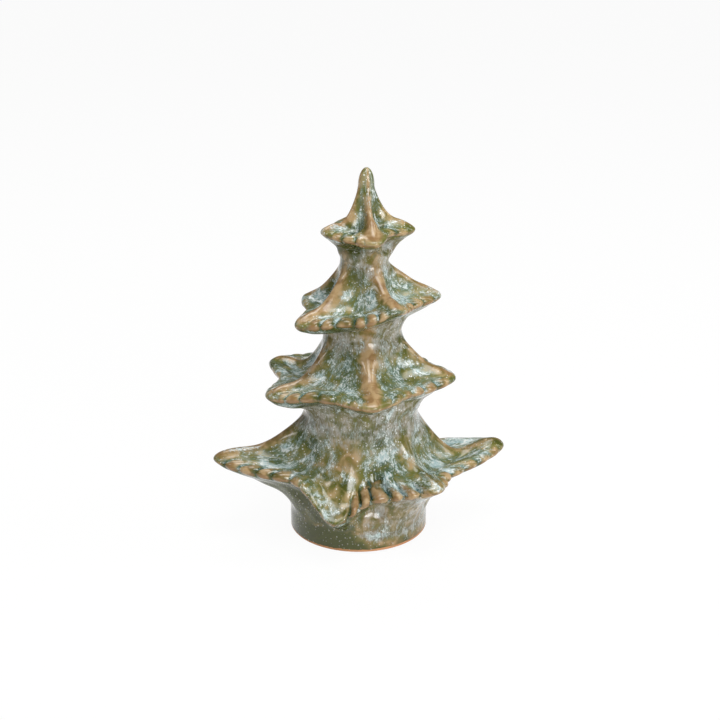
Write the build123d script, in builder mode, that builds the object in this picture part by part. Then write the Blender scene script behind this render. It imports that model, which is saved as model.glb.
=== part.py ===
from build123d import *
import math
import os

os.makedirs("parts", exist_ok=True)

# A hollow stoneware tree for a table top, about 171 mm high. It is cast in five sections that are
# stuck together with slip at the necks and glazed over, so that the seams don't show. All sizes are
# in millimetres and degrees. The foot stands on the XY plane, and the viewer stands on the -Y side.

# The cast clay and the lap joints at the necks
wall = 4.8
lap_height = 3.0
slip_gap = 0.25
lean_angle = 1.25

# The felt pads under the foot
pad_count = 4
pad_radius = 4.5
pad_thickness = 1.0
pad_circle_radius = 23.5
first_pad_direction = 45

# The foot
foot_height = 9.0
foot_edge_bevel = 0.8
foot_floor = 3.6
pour_hole_radius = 11.0

# The necks, from the foot upwards, and the height of each section between them
foot_neck_radius = 31.8
second_neck_radius = 26.0
third_neck_radius = 17.5
crown_neck_radius = 10.8
bottom_tier_height = 48.5
second_tier_height = 39.0
third_tier_height = 32.0
crown_height = 33.5

# The blunt spire on the crown, and how much it narrows upwards at its foot
spire_radius = 3.6
spire_height = 8.0
spire_taper = 0.15

# The hollow: its widest radius and the height of that above the section's lower seam
bottom_belly_radius = 27.0
bottom_belly_height = 16.0
second_belly_radius = 22.0
second_belly_height = 14.0
third_belly_radius = 14.0
third_belly_height = 10.5
crown_belly_radius = 7.0
crown_belly_height = 10.0
crown_hollow_height = 19.0
crown_hollow_end_radius = 2.5

# The rounded rims, by half their thickness, and the pleats that are pressed into them
bottom_rim = 3.1
second_rim = 3.1
third_rim = 3.0
crown_rim = 2.7
bottom_pleat_pitch = 7.6
second_pleat_pitch = 7.2
third_pleat_pitch = 6.3
crown_pleat_pitch = 5.8
pleat_depth = 1.6
pleat_run = 0.62
pleat_half_angle = 38
pleat_tool_height = 4.0
pleat_tool_length = 20.0

# Each branch: its direction, counted from the front towards +X, the reach of its tip from the trunk's
# axis, the tip's height above the section's lower seam, and how far its top has come down from the
# neck to the tip's height at a quarter and at two thirds of the way out
bottom_branches = [
    (-80, 68.0, 27.0, 0.52, 0.86),
    (-14, 45.5, 11.0, 0.50, 0.85),
    (46, 51.0, 24.5, 0.60, 0.88),
    (98, 68.4, 28.0, 0.85, 1.26),
    (155, 48.0, 25.0, 0.62, 0.90),
    (216, 50.0, 25.0, 0.58, 0.86),
]
second_branches = [
    (-122, 50.0, 12.5, 0.66, 0.98),
    (-58, 49.0, 14.5, 0.58, 0.90),
    (7, 43.0, 16.5, 0.50, 0.85),
    (74, 43.3, 19.8, 0.44, 0.79),
    (155, 38.0, 15.5, 0.55, 0.88),
]
third_branches = [
    (-112, 29.7, 10.3, 0.42, 0.76),
    (-50, 38.0, 8.5, 0.50, 0.85),
    (28, 32.0, 16.5, 0.48, 0.83),
    (98, 35.3, 14.7, 0.36, 0.70),
    (172, 32.0, 11.5, 0.50, 0.85),
]
crown_branches = [
    (-68, 20.5, 13.8, 0.62, 0.93),
    (14, 20.0, 12.0, 0.52, 0.83),
    (92, 22.0, 14.2, 0.54, 0.84),
    (158, 18.0, 13.5, 0.58, 0.88),
    (225, 16.5, 13.5, 0.58, 0.88),
]
# The valley after each branch: its direction, and the same four values for the rim there
bottom_valleys = [
    (-47, 41.0, 23.5, 0.68, 0.95),
    (15, 35.0, 16.5, 0.64, 0.93),
    (67, 45.0, 22.5, 0.76, 0.97),
    (127, 41.0, 23.0, 0.78, 0.98),
    (186, 39.0, 21.0, 0.72, 0.95),
    (248, 43.0, 22.0, 0.70, 0.95),
]
second_valleys = [
    (-90, 38.0, 13.5, 0.76, 0.98),
    (-26, 37.5, 17.0, 0.73, 0.96),
    (39, 36.0, 18.0, 0.72, 0.96),
    (115, 34.0, 17.5, 0.70, 0.96),
    (196, 35.0, 14.5, 0.70, 0.96),
]
third_valleys = [
    (-80, 25.5, 9.3, 0.68, 0.95),
    (-12, 28.5, 10.5, 0.74, 0.97),
    (62, 25.0, 14.0, 0.68, 0.95),
    (135, 25.0, 12.5, 0.66, 0.94),
    (210, 25.0, 10.5, 0.66, 0.94),
]
crown_valleys = [
    (-27, 16.0, 12.0, 0.78, 0.97),
    (53, 15.5, 12.5, 0.78, 0.97),
    (125, 15.0, 13.5, 0.78, 0.97),
    (190, 14.0, 13.5, 0.78, 0.97),
    (258, 15.0, 13.5, 0.78, 0.97),
]

# How the form runs between the sizes above
underside_out = 0.28
underside_up = 0.52
near_share = 0.27
far_share = 0.62
rim_back = 1.1
tip_roundness = 0.13
tip_sharpness = 1.8
neck_pull = 2.0
outline_steps = [0.0, 0.20, 0.40, 0.46, 0.52, 0.68, 0.84, 1.0]

# Where the skin is laid: shares of the way from a tip to a valley, steps along the outline of a
# slice, turns round the spire's end, flat strips round the hollow, and steps for measuring along a rim
slice_shares = [0.0, 0.12, 0.28, 0.56]
skin_steps = [0.0, 0.20, 0.40, 0.43, 0.46, 0.49, 0.52, 0.63, 0.75, 0.87, 1.0]
spire_turns = [27, 52, 78]
hollow_sides = 24
rim_steps = 90
rim_step_angle = 0.5

# The seams are level with each other on an upright trunk, which leans over at the foot's seam when it
# is put together
seam_height = pad_thickness + foot_height
second_seam = seam_height + bottom_tier_height
third_seam = second_seam + second_tier_height
crown_seam = third_seam + third_tier_height
lean = Pos(0, 0, seam_height) * Rot(0, lean_angle, 0) * Pos(0, 0, -seam_height)


def radial_plane(direction, seam):
    """A plane through the trunk's axis: x runs outwards in this direction, y up from the seam."""
    turn = math.radians(direction)
    outwards = (math.sin(turn), -math.cos(turn), 0)
    sideways = (-math.cos(turn), -math.sin(turn), 0)
    return Plane(origin=(0, 0, seam), x_dir=outwards, z_dir=sideways)


def next_direction(values, index):
    """The direction of the entry after this one, counted on past a full turn."""
    turn = 360 if index + 1 == len(values) else 0
    return values[(index + 1) % len(values)][0] + turn


def tip_share(share):
    """How much of a tip is left at this share of the way from it to a valley: 1 to 0, with a round end."""
    rounded = math.hypot(share, tip_roundness) - tip_roundness
    return (1 - rounded / (math.hypot(1, tip_roundness) - tip_roundness)) ** tip_sharpness


def rim_at(branches, valleys, direction):
    """The rim's reach and height, and the two shares of the top's fall, in this direction."""
    first = branches[0][0]
    direction = (direction - first) % 360 + first
    index = max(i for i, branch in enumerate(branches) if branch[0] <= direction + 1e-9)
    right_direction = next_direction(branches, index)
    valley = valleys[index]
    if direction < valley[0]:
        near = branches[index]
        share = (direction - near[0]) / (valley[0] - near[0])
    else:
        near = branches[(index + 1) % len(branches)]
        share = (right_direction - direction) / (right_direction - valley[0])
    tip = tip_share(share)
    return [in_valley + (at_tip - in_valley) * tip for at_tip, in_valley in zip(near[1:], valley[1:])]


def outline_points(low_radius, top_radius, height, rim, reach, rim_height, near_fall, far_fall):
    """The outline of one radial slice, from the lower neck round the rim to the upper neck."""
    shoulder = reach - rim
    fall = height - rim_height - rim
    return [
        (low_radius, 0),
        (low_radius + underside_out * (shoulder - low_radius), underside_up * (rim_height - rim)),
        (shoulder, rim_height - rim),
        (reach, rim_height),
        (reach - rim_back * rim, rim_height + rim),
        (top_radius + far_share * (shoulder - top_radius), height - far_fall * fall),
        (top_radius + near_share * (shoulder - top_radius), height - near_fall * fall),
        (top_radius, height),
    ]


def slice_directions(branches, valleys):
    """Directions for the slices: each tip and valley, and some between, closest near the tips."""
    directions = []
    for index, (tip, *_) in enumerate(branches):
        valley = valleys[index][0]
        following = next_direction(branches, index)
        directions += [tip + share * (valley - tip) for share in slice_shares]
        directions += [valley]
        directions += [following - share * (following - valley) for share in reversed(slice_shares[1:])]
    return directions


def slice_outline(direction, seam, low_radius, top_radius, height, rim, branches, valleys, taper=0):
    """Points along the smooth outline of one radial slice, from the lower seam to the upper one."""
    points = outline_points(low_radius, top_radius, height, rim, *rim_at(branches, valleys, direction))
    rise = points[3][1]
    top_pull = neck_pull * (height - rise)
    pulls = [(0, neck_pull * rise), (-taper * top_pull, top_pull)]
    curve = Edge.make_spline(points, tangents=pulls, parameters=outline_steps, scale=False)
    places = [curve.position_at(step, position_mode=PositionMode.PARAMETER) for step in skin_steps]
    plane = radial_plane(direction, seam)
    return [plane.from_local_coords(place) for place in places]


def spire_outline(direction, seam):
    """Points from the crown's top over the round end of the spire."""
    plane = radial_plane(direction, seam)
    turns = [math.radians(turn) for turn in spire_turns]
    return [
        plane.from_local_coords((spire_radius * math.cos(turn), spire_height * math.sin(turn), 0))
        for turn in turns
    ]


def closed_skin(outlines):
    """A solid inside a skin of small flat faces, laid between neighbouring slices and closed at both ends."""
    faces = []
    for left, right in zip(outlines, outlines[1:] + outlines[:1]):
        for low_left, top_left, low_right, top_right in zip(left, left[1:], right, right[1:]):
            faces.append(Face(Wire.make_polygon([low_left, low_right, top_right])))
            faces.append(Face(Wire.make_polygon([low_left, top_right, top_left])))
    faces.append(Face(Wire.make_polygon([outline[0] for outline in outlines])))
    faces.append(Face(Wire.make_polygon([outline[-1] for outline in outlines])))
    return Solid(Shell(faces))


def closed_hollow(seam, corners):
    """The hollow inside a section, laid in flat strips round the trunk's axis between these corners."""
    outlines = []
    for side in range(hollow_sides):
        plane = radial_plane(side * 360 / hollow_sides, seam)
        outlines.append([plane.from_local_coords(corner) for corner in corners])
    return closed_skin(outlines)


def rim_point(branches, valleys, direction):
    """A point on the rim's edge, in the tier's own frame."""
    reach, height, *_ = rim_at(branches, valleys, direction)
    turn = math.radians(direction)
    return Vector(reach * math.sin(turn), -reach * math.cos(turn), height)


def pleat_directions(branches, valleys, pitch):
    """Directions of the pleats: evenly spaced along the rim between each tip and the next, tips left out."""
    directions = []
    for index, (tip, *_) in enumerate(branches):
        span = next_direction(branches, index) - tip
        turns = [tip + span * i / rim_steps for i in range(rim_steps + 1)]
        rim_line = [rim_point(branches, valleys, turn) for turn in turns]
        run = [0.0]
        for start, end in zip(rim_line, rim_line[1:]):
            run.append(run[-1] + (end - start).length)
        count = max(1, round(run[-1] / pitch))
        for number in range(1, count):
            place = run[-1] * number / count
            i = max(k for k in range(rim_steps) if run[k] <= place)
            step = span / rim_steps * (place - run[i]) / (run[i + 1] - run[i])
            directions.append(turns[i] + step)
    return directions


def pleat_planes(seam, low_radius, top_radius, height, rim, branches, valleys, pitch):
    """Planes for the pleats: each stands where its pleat fades out on the top, facing out over the rim."""
    planes = []
    for direction in pleat_directions(branches, valleys, pitch):
        points = outline_points(low_radius, top_radius, height, rim, *rim_at(branches, valleys, direction))
        shoulder = Vector(*points[4])
        slope = Vector(*points[5])
        fade = shoulder + (slope - shoulder) * pleat_run
        turn = math.radians(direction)
        start = Vector(fade.X * math.sin(turn), -fade.X * math.cos(turn), fade.Y)
        edge = rim_point(branches, valleys, direction)
        along = rim_point(branches, valleys, direction + rim_step_angle) - edge
        level = Vector(along.X, along.Y, 0).normalized()
        out = Vector(level.Y, -level.X, 0)
        bottom = edge - out * pleat_depth
        planes.append(Plane(origin=start + Vector(0, 0, seam), x_dir=level, z_dir=bottom - start))
    return planes


pleat_tool_half_width = pleat_tool_height * math.tan(math.radians(pleat_half_angle))
pleat_outline = [(0, 0), (-pleat_tool_half_width, pleat_tool_height), (pleat_tool_half_width, pleat_tool_height)]

# The foot: a shallow dish, open upwards, with the hole that the slip was poured out through
dish_radius = foot_neck_radius - wall
dish_floor = pad_thickness + foot_floor
above_seam = seam_height + wall
with BuildPart() as foot:
    with BuildSketch(Plane.XZ):
        with BuildLine():
            Polyline(
                (pour_hole_radius, pad_thickness),
                (foot_neck_radius, pad_thickness),
                (foot_neck_radius, above_seam),
                (dish_radius, above_seam),
                (dish_radius, dish_floor),
                (pour_hole_radius, dish_floor),
                close=True,
            )
        edge_corner = make_face().vertices().group_by(Axis.Z)[0].sort_by(Axis.X)[-1]
        chamfer(edge_corner, foot_edge_bevel)
    revolve(axis=Axis.Z)
    split(bisect_by=lean * Plane.XY.offset(seam_height), keep=Keep.BOTTOM)
    with BuildSketch(lean * Plane.XY.offset(seam_height)):
        Circle(foot_neck_radius - wall / 2 + slip_gap / 2)
    extrude(amount=-lap_height, mode=Mode.SUBTRACT)
foot.part.label = "foot"
export_step(foot.part, "parts/foot.step")

# The bottom tier: six drooping branches round the foot of the trunk
bottom_form = (seam_height, foot_neck_radius, second_neck_radius, bottom_tier_height, bottom_rim,
               bottom_branches, bottom_valleys)
bottom_directions = slice_directions(bottom_branches, bottom_valleys)
bottom_skin = closed_skin([slice_outline(direction, *bottom_form) for direction in bottom_directions])
bottom_hollow = closed_hollow(
    seam_height,
    [
        (foot_neck_radius - wall, -lap_height),
        (foot_neck_radius - wall, 0),
        (bottom_belly_radius, bottom_belly_height),
        (second_neck_radius - wall, bottom_tier_height),
    ],
)
with BuildPart() as bottom_tier:
    add(bottom_skin)
    with BuildSketch(*pleat_planes(*bottom_form, bottom_pleat_pitch)):
        with BuildLine():
            Polyline(*pleat_outline, close=True)
        make_face()
    extrude(amount=pleat_tool_length, mode=Mode.SUBTRACT)
    with BuildSketch(Plane.XY.offset(seam_height)):
        Circle(foot_neck_radius - wall / 2 - slip_gap / 2)
    extrude(amount=slip_gap - lap_height)
    add(bottom_hollow, mode=Mode.SUBTRACT)
    with BuildSketch(Plane.XY.offset(second_seam)):
        Circle(second_neck_radius - wall / 2 + slip_gap / 2)
    extrude(amount=-lap_height, mode=Mode.SUBTRACT)
bottom_tier.part.locate(lean)
bottom_tier.part.label = "bottom_tier"
export_step(bottom_tier.part, "parts/bottom_tier.step")

# The second tier: five branches, turned against those below
second_form = (second_seam, second_neck_radius, third_neck_radius, second_tier_height, second_rim,
               second_branches, second_valleys)
second_directions = slice_directions(second_branches, second_valleys)
second_skin = closed_skin([slice_outline(direction, *second_form) for direction in second_directions])
second_hollow = closed_hollow(
    second_seam,
    [
        (second_neck_radius - wall, -lap_height),
        (second_neck_radius - wall, 0),
        (second_belly_radius, second_belly_height),
        (third_neck_radius - wall, second_tier_height),
    ],
)
with BuildPart() as second_tier:
    add(second_skin)
    with BuildSketch(*pleat_planes(*second_form, second_pleat_pitch)):
        with BuildLine():
            Polyline(*pleat_outline, close=True)
        make_face()
    extrude(amount=pleat_tool_length, mode=Mode.SUBTRACT)
    with BuildSketch(Plane.XY.offset(second_seam)):
        Circle(second_neck_radius - wall / 2 - slip_gap / 2)
    extrude(amount=slip_gap - lap_height)
    add(second_hollow, mode=Mode.SUBTRACT)
    with BuildSketch(Plane.XY.offset(third_seam)):
        Circle(third_neck_radius - wall / 2 + slip_gap / 2)
    extrude(amount=-lap_height, mode=Mode.SUBTRACT)
second_tier.part.locate(lean)
second_tier.part.label = "second_tier"
export_step(second_tier.part, "parts/second_tier.step")

# The third tier: five shorter branches
third_form = (third_seam, third_neck_radius, crown_neck_radius, third_tier_height, third_rim,
              third_branches, third_valleys)
third_directions = slice_directions(third_branches, third_valleys)
third_skin = closed_skin([slice_outline(direction, *third_form) for direction in third_directions])
third_hollow = closed_hollow(
    third_seam,
    [
        (third_neck_radius - wall, -lap_height),
        (third_neck_radius - wall, 0),
        (third_belly_radius, third_belly_height),
        (crown_neck_radius - wall, third_tier_height),
    ],
)
with BuildPart() as third_tier:
    add(third_skin)
    with BuildSketch(*pleat_planes(*third_form, third_pleat_pitch)):
        with BuildLine():
            Polyline(*pleat_outline, close=True)
        make_face()
    extrude(amount=pleat_tool_length, mode=Mode.SUBTRACT)
    with BuildSketch(Plane.XY.offset(third_seam)):
        Circle(third_neck_radius - wall / 2 - slip_gap / 2)
    extrude(amount=slip_gap - lap_height)
    add(third_hollow, mode=Mode.SUBTRACT)
    with BuildSketch(Plane.XY.offset(crown_seam)):
        Circle(crown_neck_radius - wall / 2 + slip_gap / 2)
    extrude(amount=-lap_height, mode=Mode.SUBTRACT)
third_tier.part.locate(lean)
third_tier.part.label = "third_tier"
export_step(third_tier.part, "parts/third_tier.step")

# The crown: the top branches and the blunt spire, hollow up to the branches and solid above
crown_form = (crown_seam, crown_neck_radius, spire_radius, crown_height, crown_rim, crown_branches, crown_valleys)
crown_directions = slice_directions(crown_branches, crown_valleys)
spire_seam = crown_seam + crown_height
crown_skin = closed_skin(
    [
        slice_outline(direction, *crown_form, spire_taper) + spire_outline(direction, spire_seam)
        for direction in crown_directions
    ]
)
crown_hollow = closed_hollow(
    crown_seam,
    [
        (crown_neck_radius - wall, -lap_height),
        (crown_neck_radius - wall, 0),
        (crown_belly_radius, crown_belly_height),
        (crown_hollow_end_radius, crown_hollow_height),
    ],
)
with BuildPart() as crown:
    add(crown_skin)
    with BuildSketch(*pleat_planes(*crown_form, crown_pleat_pitch)):
        with BuildLine():
            Polyline(*pleat_outline, close=True)
        make_face()
    extrude(amount=pleat_tool_length, mode=Mode.SUBTRACT)
    with BuildSketch(Plane.XY.offset(crown_seam)):
        Circle(crown_neck_radius - wall / 2 - slip_gap / 2)
    extrude(amount=slip_gap - lap_height)
    add(crown_hollow, mode=Mode.SUBTRACT)
crown.part.locate(lean)
crown.part.label = "crown"
export_step(crown.part, "parts/crown.step")

# The felt pads, stuck under the foot so that it doesn't scratch the table
pad_places = PolarLocations(pad_circle_radius, pad_count, start_angle=first_pad_direction).locations
for number, place in enumerate(pad_places, start=1):
    with BuildPart(place) as felt_pad:
        Cylinder(pad_radius, pad_thickness, align=(Align.CENTER, Align.CENTER, Align.MIN))
    felt_pad.part.label = f"felt_pad_{number}"
    export_step(felt_pad.part, f"parts/felt_pad_{number}.step")
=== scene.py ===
import math

import bpy
import numpy as np
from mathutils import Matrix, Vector


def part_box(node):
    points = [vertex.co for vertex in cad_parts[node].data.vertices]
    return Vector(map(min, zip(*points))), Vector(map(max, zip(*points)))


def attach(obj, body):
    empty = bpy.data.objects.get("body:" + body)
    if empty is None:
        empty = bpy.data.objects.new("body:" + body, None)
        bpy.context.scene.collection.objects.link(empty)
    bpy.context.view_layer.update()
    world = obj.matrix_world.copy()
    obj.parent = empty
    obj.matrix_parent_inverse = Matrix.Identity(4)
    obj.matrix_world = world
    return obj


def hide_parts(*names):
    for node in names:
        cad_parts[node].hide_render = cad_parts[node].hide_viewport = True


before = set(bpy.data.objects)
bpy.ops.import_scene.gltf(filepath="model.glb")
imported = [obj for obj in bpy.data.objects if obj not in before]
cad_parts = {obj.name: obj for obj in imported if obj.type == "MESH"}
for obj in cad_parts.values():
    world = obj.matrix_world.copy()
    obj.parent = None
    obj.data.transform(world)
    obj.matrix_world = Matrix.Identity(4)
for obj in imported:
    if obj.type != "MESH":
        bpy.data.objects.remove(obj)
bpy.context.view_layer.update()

# The felt pads
# Four dots, die-cut from brown wool felt a millimetre thick and stuck under the foot with their own
# glue, so that the fired clay doesn't scratch the table.
mm = 0.001
pad_count = 4
pad_low, pad_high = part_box("felt_pad_1")
pad_radius = (pad_high.x - pad_low.x) / 2
pad_thickness = pad_high.z - pad_low.z
pad_middle = (pad_low + pad_high) / 2
pad_circle_radius = math.hypot(pad_middle.x, pad_middle.y)
first_pad_turn = math.atan2(pad_middle.y, pad_middle.x)
felt_brown, felt_pale = "6b5a45", "8f7d63"
felt_fibre = 0.35 * mm
felt_nap = 0.15 * mm
felt_roughness, felt_sheen = 0.95, 0.3
fuzz_size, fuzz_spacing = 0.3 * mm, 0.8 * mm
fuzz_inset = 0.8


def linear(hex_colour):
    """An sRGB hex colour as linear red, green, blue and a full alpha."""
    parts = [int(hex_colour[i:i + 2], 16) / 255 for i in (0, 2, 4)]
    return [p / 12.92 if p <= 0.04045 else ((p + 0.055) / 1.055) ** 2.4 for p in parts] + [1.0]


def add_node(tree, kind, settings={}, inputs={}):
    """A node of this kind, with its settings made and its inputs linked or set."""
    made = tree.nodes.new(kind)
    for name, value in settings.items():
        setattr(made, name, value)
    for key, value in inputs.items():
        if isinstance(value, bpy.types.NodeSocket):
            tree.links.new(value, made.inputs[key])
        else:
            made.inputs[key].default_value = value
    return made


def shaped_by(tree, base, values):
    """The plain mesh that this node tree makes from a base mesh with these named input values."""
    carrier = bpy.data.objects.new("carrier", base)
    bpy.context.scene.collection.objects.link(carrier)
    modifier = carrier.modifiers.new("shape", "NODES")
    modifier.node_group = tree
    for item in tree.interface.items_tree:
        if item.in_out == "INPUT" and item.name in values:
            modifier[item.identifier] = values[item.name]
    graph = bpy.context.evaluated_depsgraph_get()
    mesh = bpy.data.meshes.new_from_object(
        carrier.evaluated_get(graph), preserve_all_data_layers=True, depsgraph=graph
    )
    carrier.modifiers.remove(modifier)
    bpy.data.objects.remove(carrier)
    return mesh


# Wool felt, pressed and die-cut: matte, with short fibres lying every way in two browns.
felt = bpy.data.materials.new("die_cut_wool_felt")
felt.use_nodes = True
tree = felt.node_tree
shader = tree.nodes["Principled BSDF"]
place = add_node(tree, "ShaderNodeTexCoord").outputs["Object"]
fibres = add_node(
    tree, "ShaderNodeTexNoise", {}, {"Vector": place, "Scale": 1 / felt_fibre, "Detail": 4.0}
).outputs["Fac"]
browns = add_node(
    tree, "ShaderNodeMix", {"data_type": "RGBA"}, {0: fibres, 6: linear(felt_brown), 7: linear(felt_pale)}
)
nap = add_node(tree, "ShaderNodeBump", {}, {"Strength": 0.6, "Distance": felt_nap, "Height": fibres})
tree.links.new(browns.outputs[2], shader.inputs["Base Color"])
tree.links.new(nap.outputs["Normal"], shader.inputs["Normal"])
shader.inputs["Roughness"].default_value = felt_roughness
shader.inputs["Sheen Weight"].default_value = felt_sheen

# The dots are cut once, with an edge that is fuzzy inside its circle, and set out round the foot.
tree = bpy.data.node_groups.new("set out felt dots", "GeometryNodeTree")
for name, kind in (
    ("Base", "NodeSocketGeometry"), ("Count", "NodeSocketInt"), ("Circle", "NodeSocketFloat"),
    ("Dot radius", "NodeSocketFloat"), ("Thickness", "NodeSocketFloat"), ("First turn", "NodeSocketFloat"),
    ("Fuzz", "NodeSocketFloat"), ("Felt", "NodeSocketMaterial"),
):
    tree.interface.new_socket(name=name, in_out="INPUT", socket_type=kind)
tree.interface.new_socket(name="Dots", in_out="OUTPUT", socket_type="NodeSocketGeometry")
given = add_node(tree, "NodeGroupInput").outputs
half_thick = add_node(tree, "ShaderNodeMath", {"operation": "MULTIPLY"}, {0: given["Thickness"], 1: 0.5})
dot = add_node(
    tree, "GeometryNodeMeshCylinder", {"fill_type": "TRIANGLE_FAN"},
    {
        "Vertices": 64, "Side Segments": 5, "Fill Segments": 6,
        "Radius": given["Dot radius"], "Depth": given["Thickness"],
    },
)
fuzz = add_node(tree, "ShaderNodeTexNoise", {}, {"Scale": 1 / fuzz_spacing, "Detail": 2.0}).outputs["Fac"]
fuzz = add_node(tree, "ShaderNodeMath", {"operation": "SUBTRACT"}, {0: fuzz, 1: fuzz_inset}).outputs[0]
fuzz = add_node(tree, "ShaderNodeMath", {"operation": "MULTIPLY"}, {0: fuzz, 1: given["Fuzz"]}).outputs[0]
here = add_node(tree, "GeometryNodeInputPosition").outputs["Position"]
sideways = add_node(tree, "ShaderNodeVectorMath", {"operation": "MULTIPLY"}, {0: here, 1: (1.0, 1.0, 0.0)})
outwards = add_node(tree, "ShaderNodeVectorMath", {"operation": "NORMALIZE"}, {0: sideways.outputs[0]})
push = add_node(
    tree, "ShaderNodeVectorMath", {"operation": "SCALE"}, {0: outwards.outputs[0], "Scale": fuzz}
)
fuzzy = add_node(
    tree, "GeometryNodeSetPosition", {}, {"Geometry": dot.outputs["Mesh"], "Offset": push.outputs[0]}
)
ring = add_node(tree, "GeometryNodeMeshCircle", {}, {"Vertices": given["Count"], "Radius": given["Circle"]})
turn = add_node(tree, "ShaderNodeCombineXYZ", {}, {"Z": given["First turn"]})
lift = add_node(tree, "ShaderNodeCombineXYZ", {}, {"Z": half_thick.outputs[0]})
set_out = add_node(
    tree, "GeometryNodeTransform", {},
    {"Geometry": ring.outputs["Mesh"], "Translation": lift.outputs[0], "Rotation": turn.outputs[0]},
)
dots = add_node(
    tree, "GeometryNodeInstanceOnPoints", {}, {"Points": set_out.outputs[0], "Instance": fuzzy.outputs[0]}
)
real_dots = add_node(tree, "GeometryNodeRealizeInstances", {}, {0: dots.outputs[0]})
finished = add_node(
    tree, "GeometryNodeSetMaterial", {}, {"Geometry": real_dots.outputs[0], "Material": given["Felt"]}
)
add_node(tree, "NodeGroupOutput", {}, {0: finished.outputs[0]})
pads_mesh = shaped_by(
    tree, bpy.data.meshes.new("felt_blank"),
    {
        "Count": pad_count, "Circle": pad_circle_radius, "Dot radius": pad_radius,
        "Thickness": pad_thickness, "First turn": first_pad_turn, "Fuzz": fuzz_size, "Felt": felt,
    },
)
felt_pads = bpy.data.objects.new("felt_pads", pads_mesh)
bpy.context.scene.collection.objects.link(felt_pads)
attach(felt_pads, "root")
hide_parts(*[f"felt_pad_{number}" for number in range(1, pad_count + 1)])

# The foot
# A shallow round dish of cast stoneware with the pour hole in its floor. It carries the trunk, and the
# glaze is wiped off its lower edge, where a thin line of bare orange clay shows.
foot_radius = 31.8
foot_base = pad_thickness / mm
foot_seam = 10.0
foot_edge_round = 1.2
foot_standing_ring = 6.0
foot_wall = 4.8
foot_floor = 3.6
pour_hole_radius = 11.0
wiped_height = 1.4
lean_angle = math.radians(1.25)
foot_columns, foot_edge_rows, foot_wall_rows = 240, 8, 24
foot_crease = math.radians(70)


def lean_over(points, share=1.0):
    """Points of the upright trunk, in millimetres, leant over about the foot's seam."""
    turn = lean_angle * share
    x, y, z = points[..., 0], points[..., 1], points[..., 2] - foot_seam
    return np.stack(
        [x * np.cos(turn) + z * np.sin(turn), y, foot_seam + z * np.cos(turn) - x * np.sin(turn)], axis=-1
    )


def around(directions, radius, height):
    """Points at these directions in degrees, counted from the front towards +X."""
    turn = np.radians(directions)[:, None]
    return np.stack(np.broadcast_arrays(radius * np.sin(turn), -radius * np.cos(turn), height), axis=-1)


def cast_mesh(name, points, closed, marks):
    """A mesh through a grid of points, columns round the trunk and rows along the outline, with its marks.

    A closed outline joins its last row to its first. An open one has a point on the axis at each end."""
    columns, rows = points.shape[:2]
    index = np.arange(columns * rows).reshape(columns, rows)
    beside = np.roll(index, -1, axis=0)
    above, beside_above = np.roll(index, -1, axis=1), np.roll(beside, -1, axis=1)
    last = rows if closed else rows - 1
    faces = np.stack([index, beside, beside_above, above], axis=-1)[:, :last].reshape(-1, 4).tolist()
    flat = points.reshape(-1, 3)
    if not closed:
        flat = np.vstack([flat, points[:, 0].mean(axis=0), points[:, -1].mean(axis=0)])
        low_end, top_end = columns * rows, columns * rows + 1
        faces += [[low_end, int(b), int(a)] for a, b in zip(index[:, 0], beside[:, 0])]
        faces += [[top_end, int(a), int(b)] for a, b in zip(index[:, -1], beside[:, -1])]
    mesh = bpy.data.meshes.new(name)
    mesh.from_pydata((flat * mm).tolist(), [], faces)
    for mark, values in marks.items():
        vector = values.ndim == 3
        table = values.reshape(columns * rows, -1)
        if not closed:
            table = np.vstack([table, table[0], table[rows - 1]])
        layer = mesh.attributes.new(mark, "FLOAT_VECTOR" if vector else "FLOAT", "POINT")
        layer.data.foreach_set("vector" if vector else "value", table.astype(np.float32).ravel())
    mesh.polygons.foreach_set("use_smooth", [True] * len(mesh.polygons))
    mesh.update()
    return mesh


def smooth_step(low, high, values):
    """0 below low, 1 above high, and a smooth rise between."""
    share = np.clip((values - low) / (high - low), 0, 1)
    return share * share * (3 - 2 * share)


# Reactive glaze over stoneware, dipped and fired till it runs: olive where it lies evenly, tan clay showing
# through where it thins on ridges and lumps, blue-grey with pale crystals where it pools, and a milky veil
# under the branches and round the necks. Under the rims and low on the foot the olive is painted darker,
# as painted shade along with thick glaze. The surface is glassy, with slow waves.
olive_deep, olive_mid, olive_pale = "454a1a", "6d6e35", "8f8958"
clay_brown, clay_tan = "8a6a45", "ad926b"
milk_brown, milk_white = "655b44", "a3a29b"
pool_teal, pool_haze = "437a7e", "92a6a4"
crystal_blue, crystal_white = "a6c0c4", "dfe2de"
bare_clay = "c98f62"
speck_spacing = 1.2 * mm
wave_height = 0.5 * mm
crystal_height = 0.06 * mm
wiped_waver, wiped_blur = 0.6 * mm, 0.15 * mm
glaze_ior = 1.52
glaze_roughness, crystal_roughness, bare_roughness = 0.10, 0.15, 0.7


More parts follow.
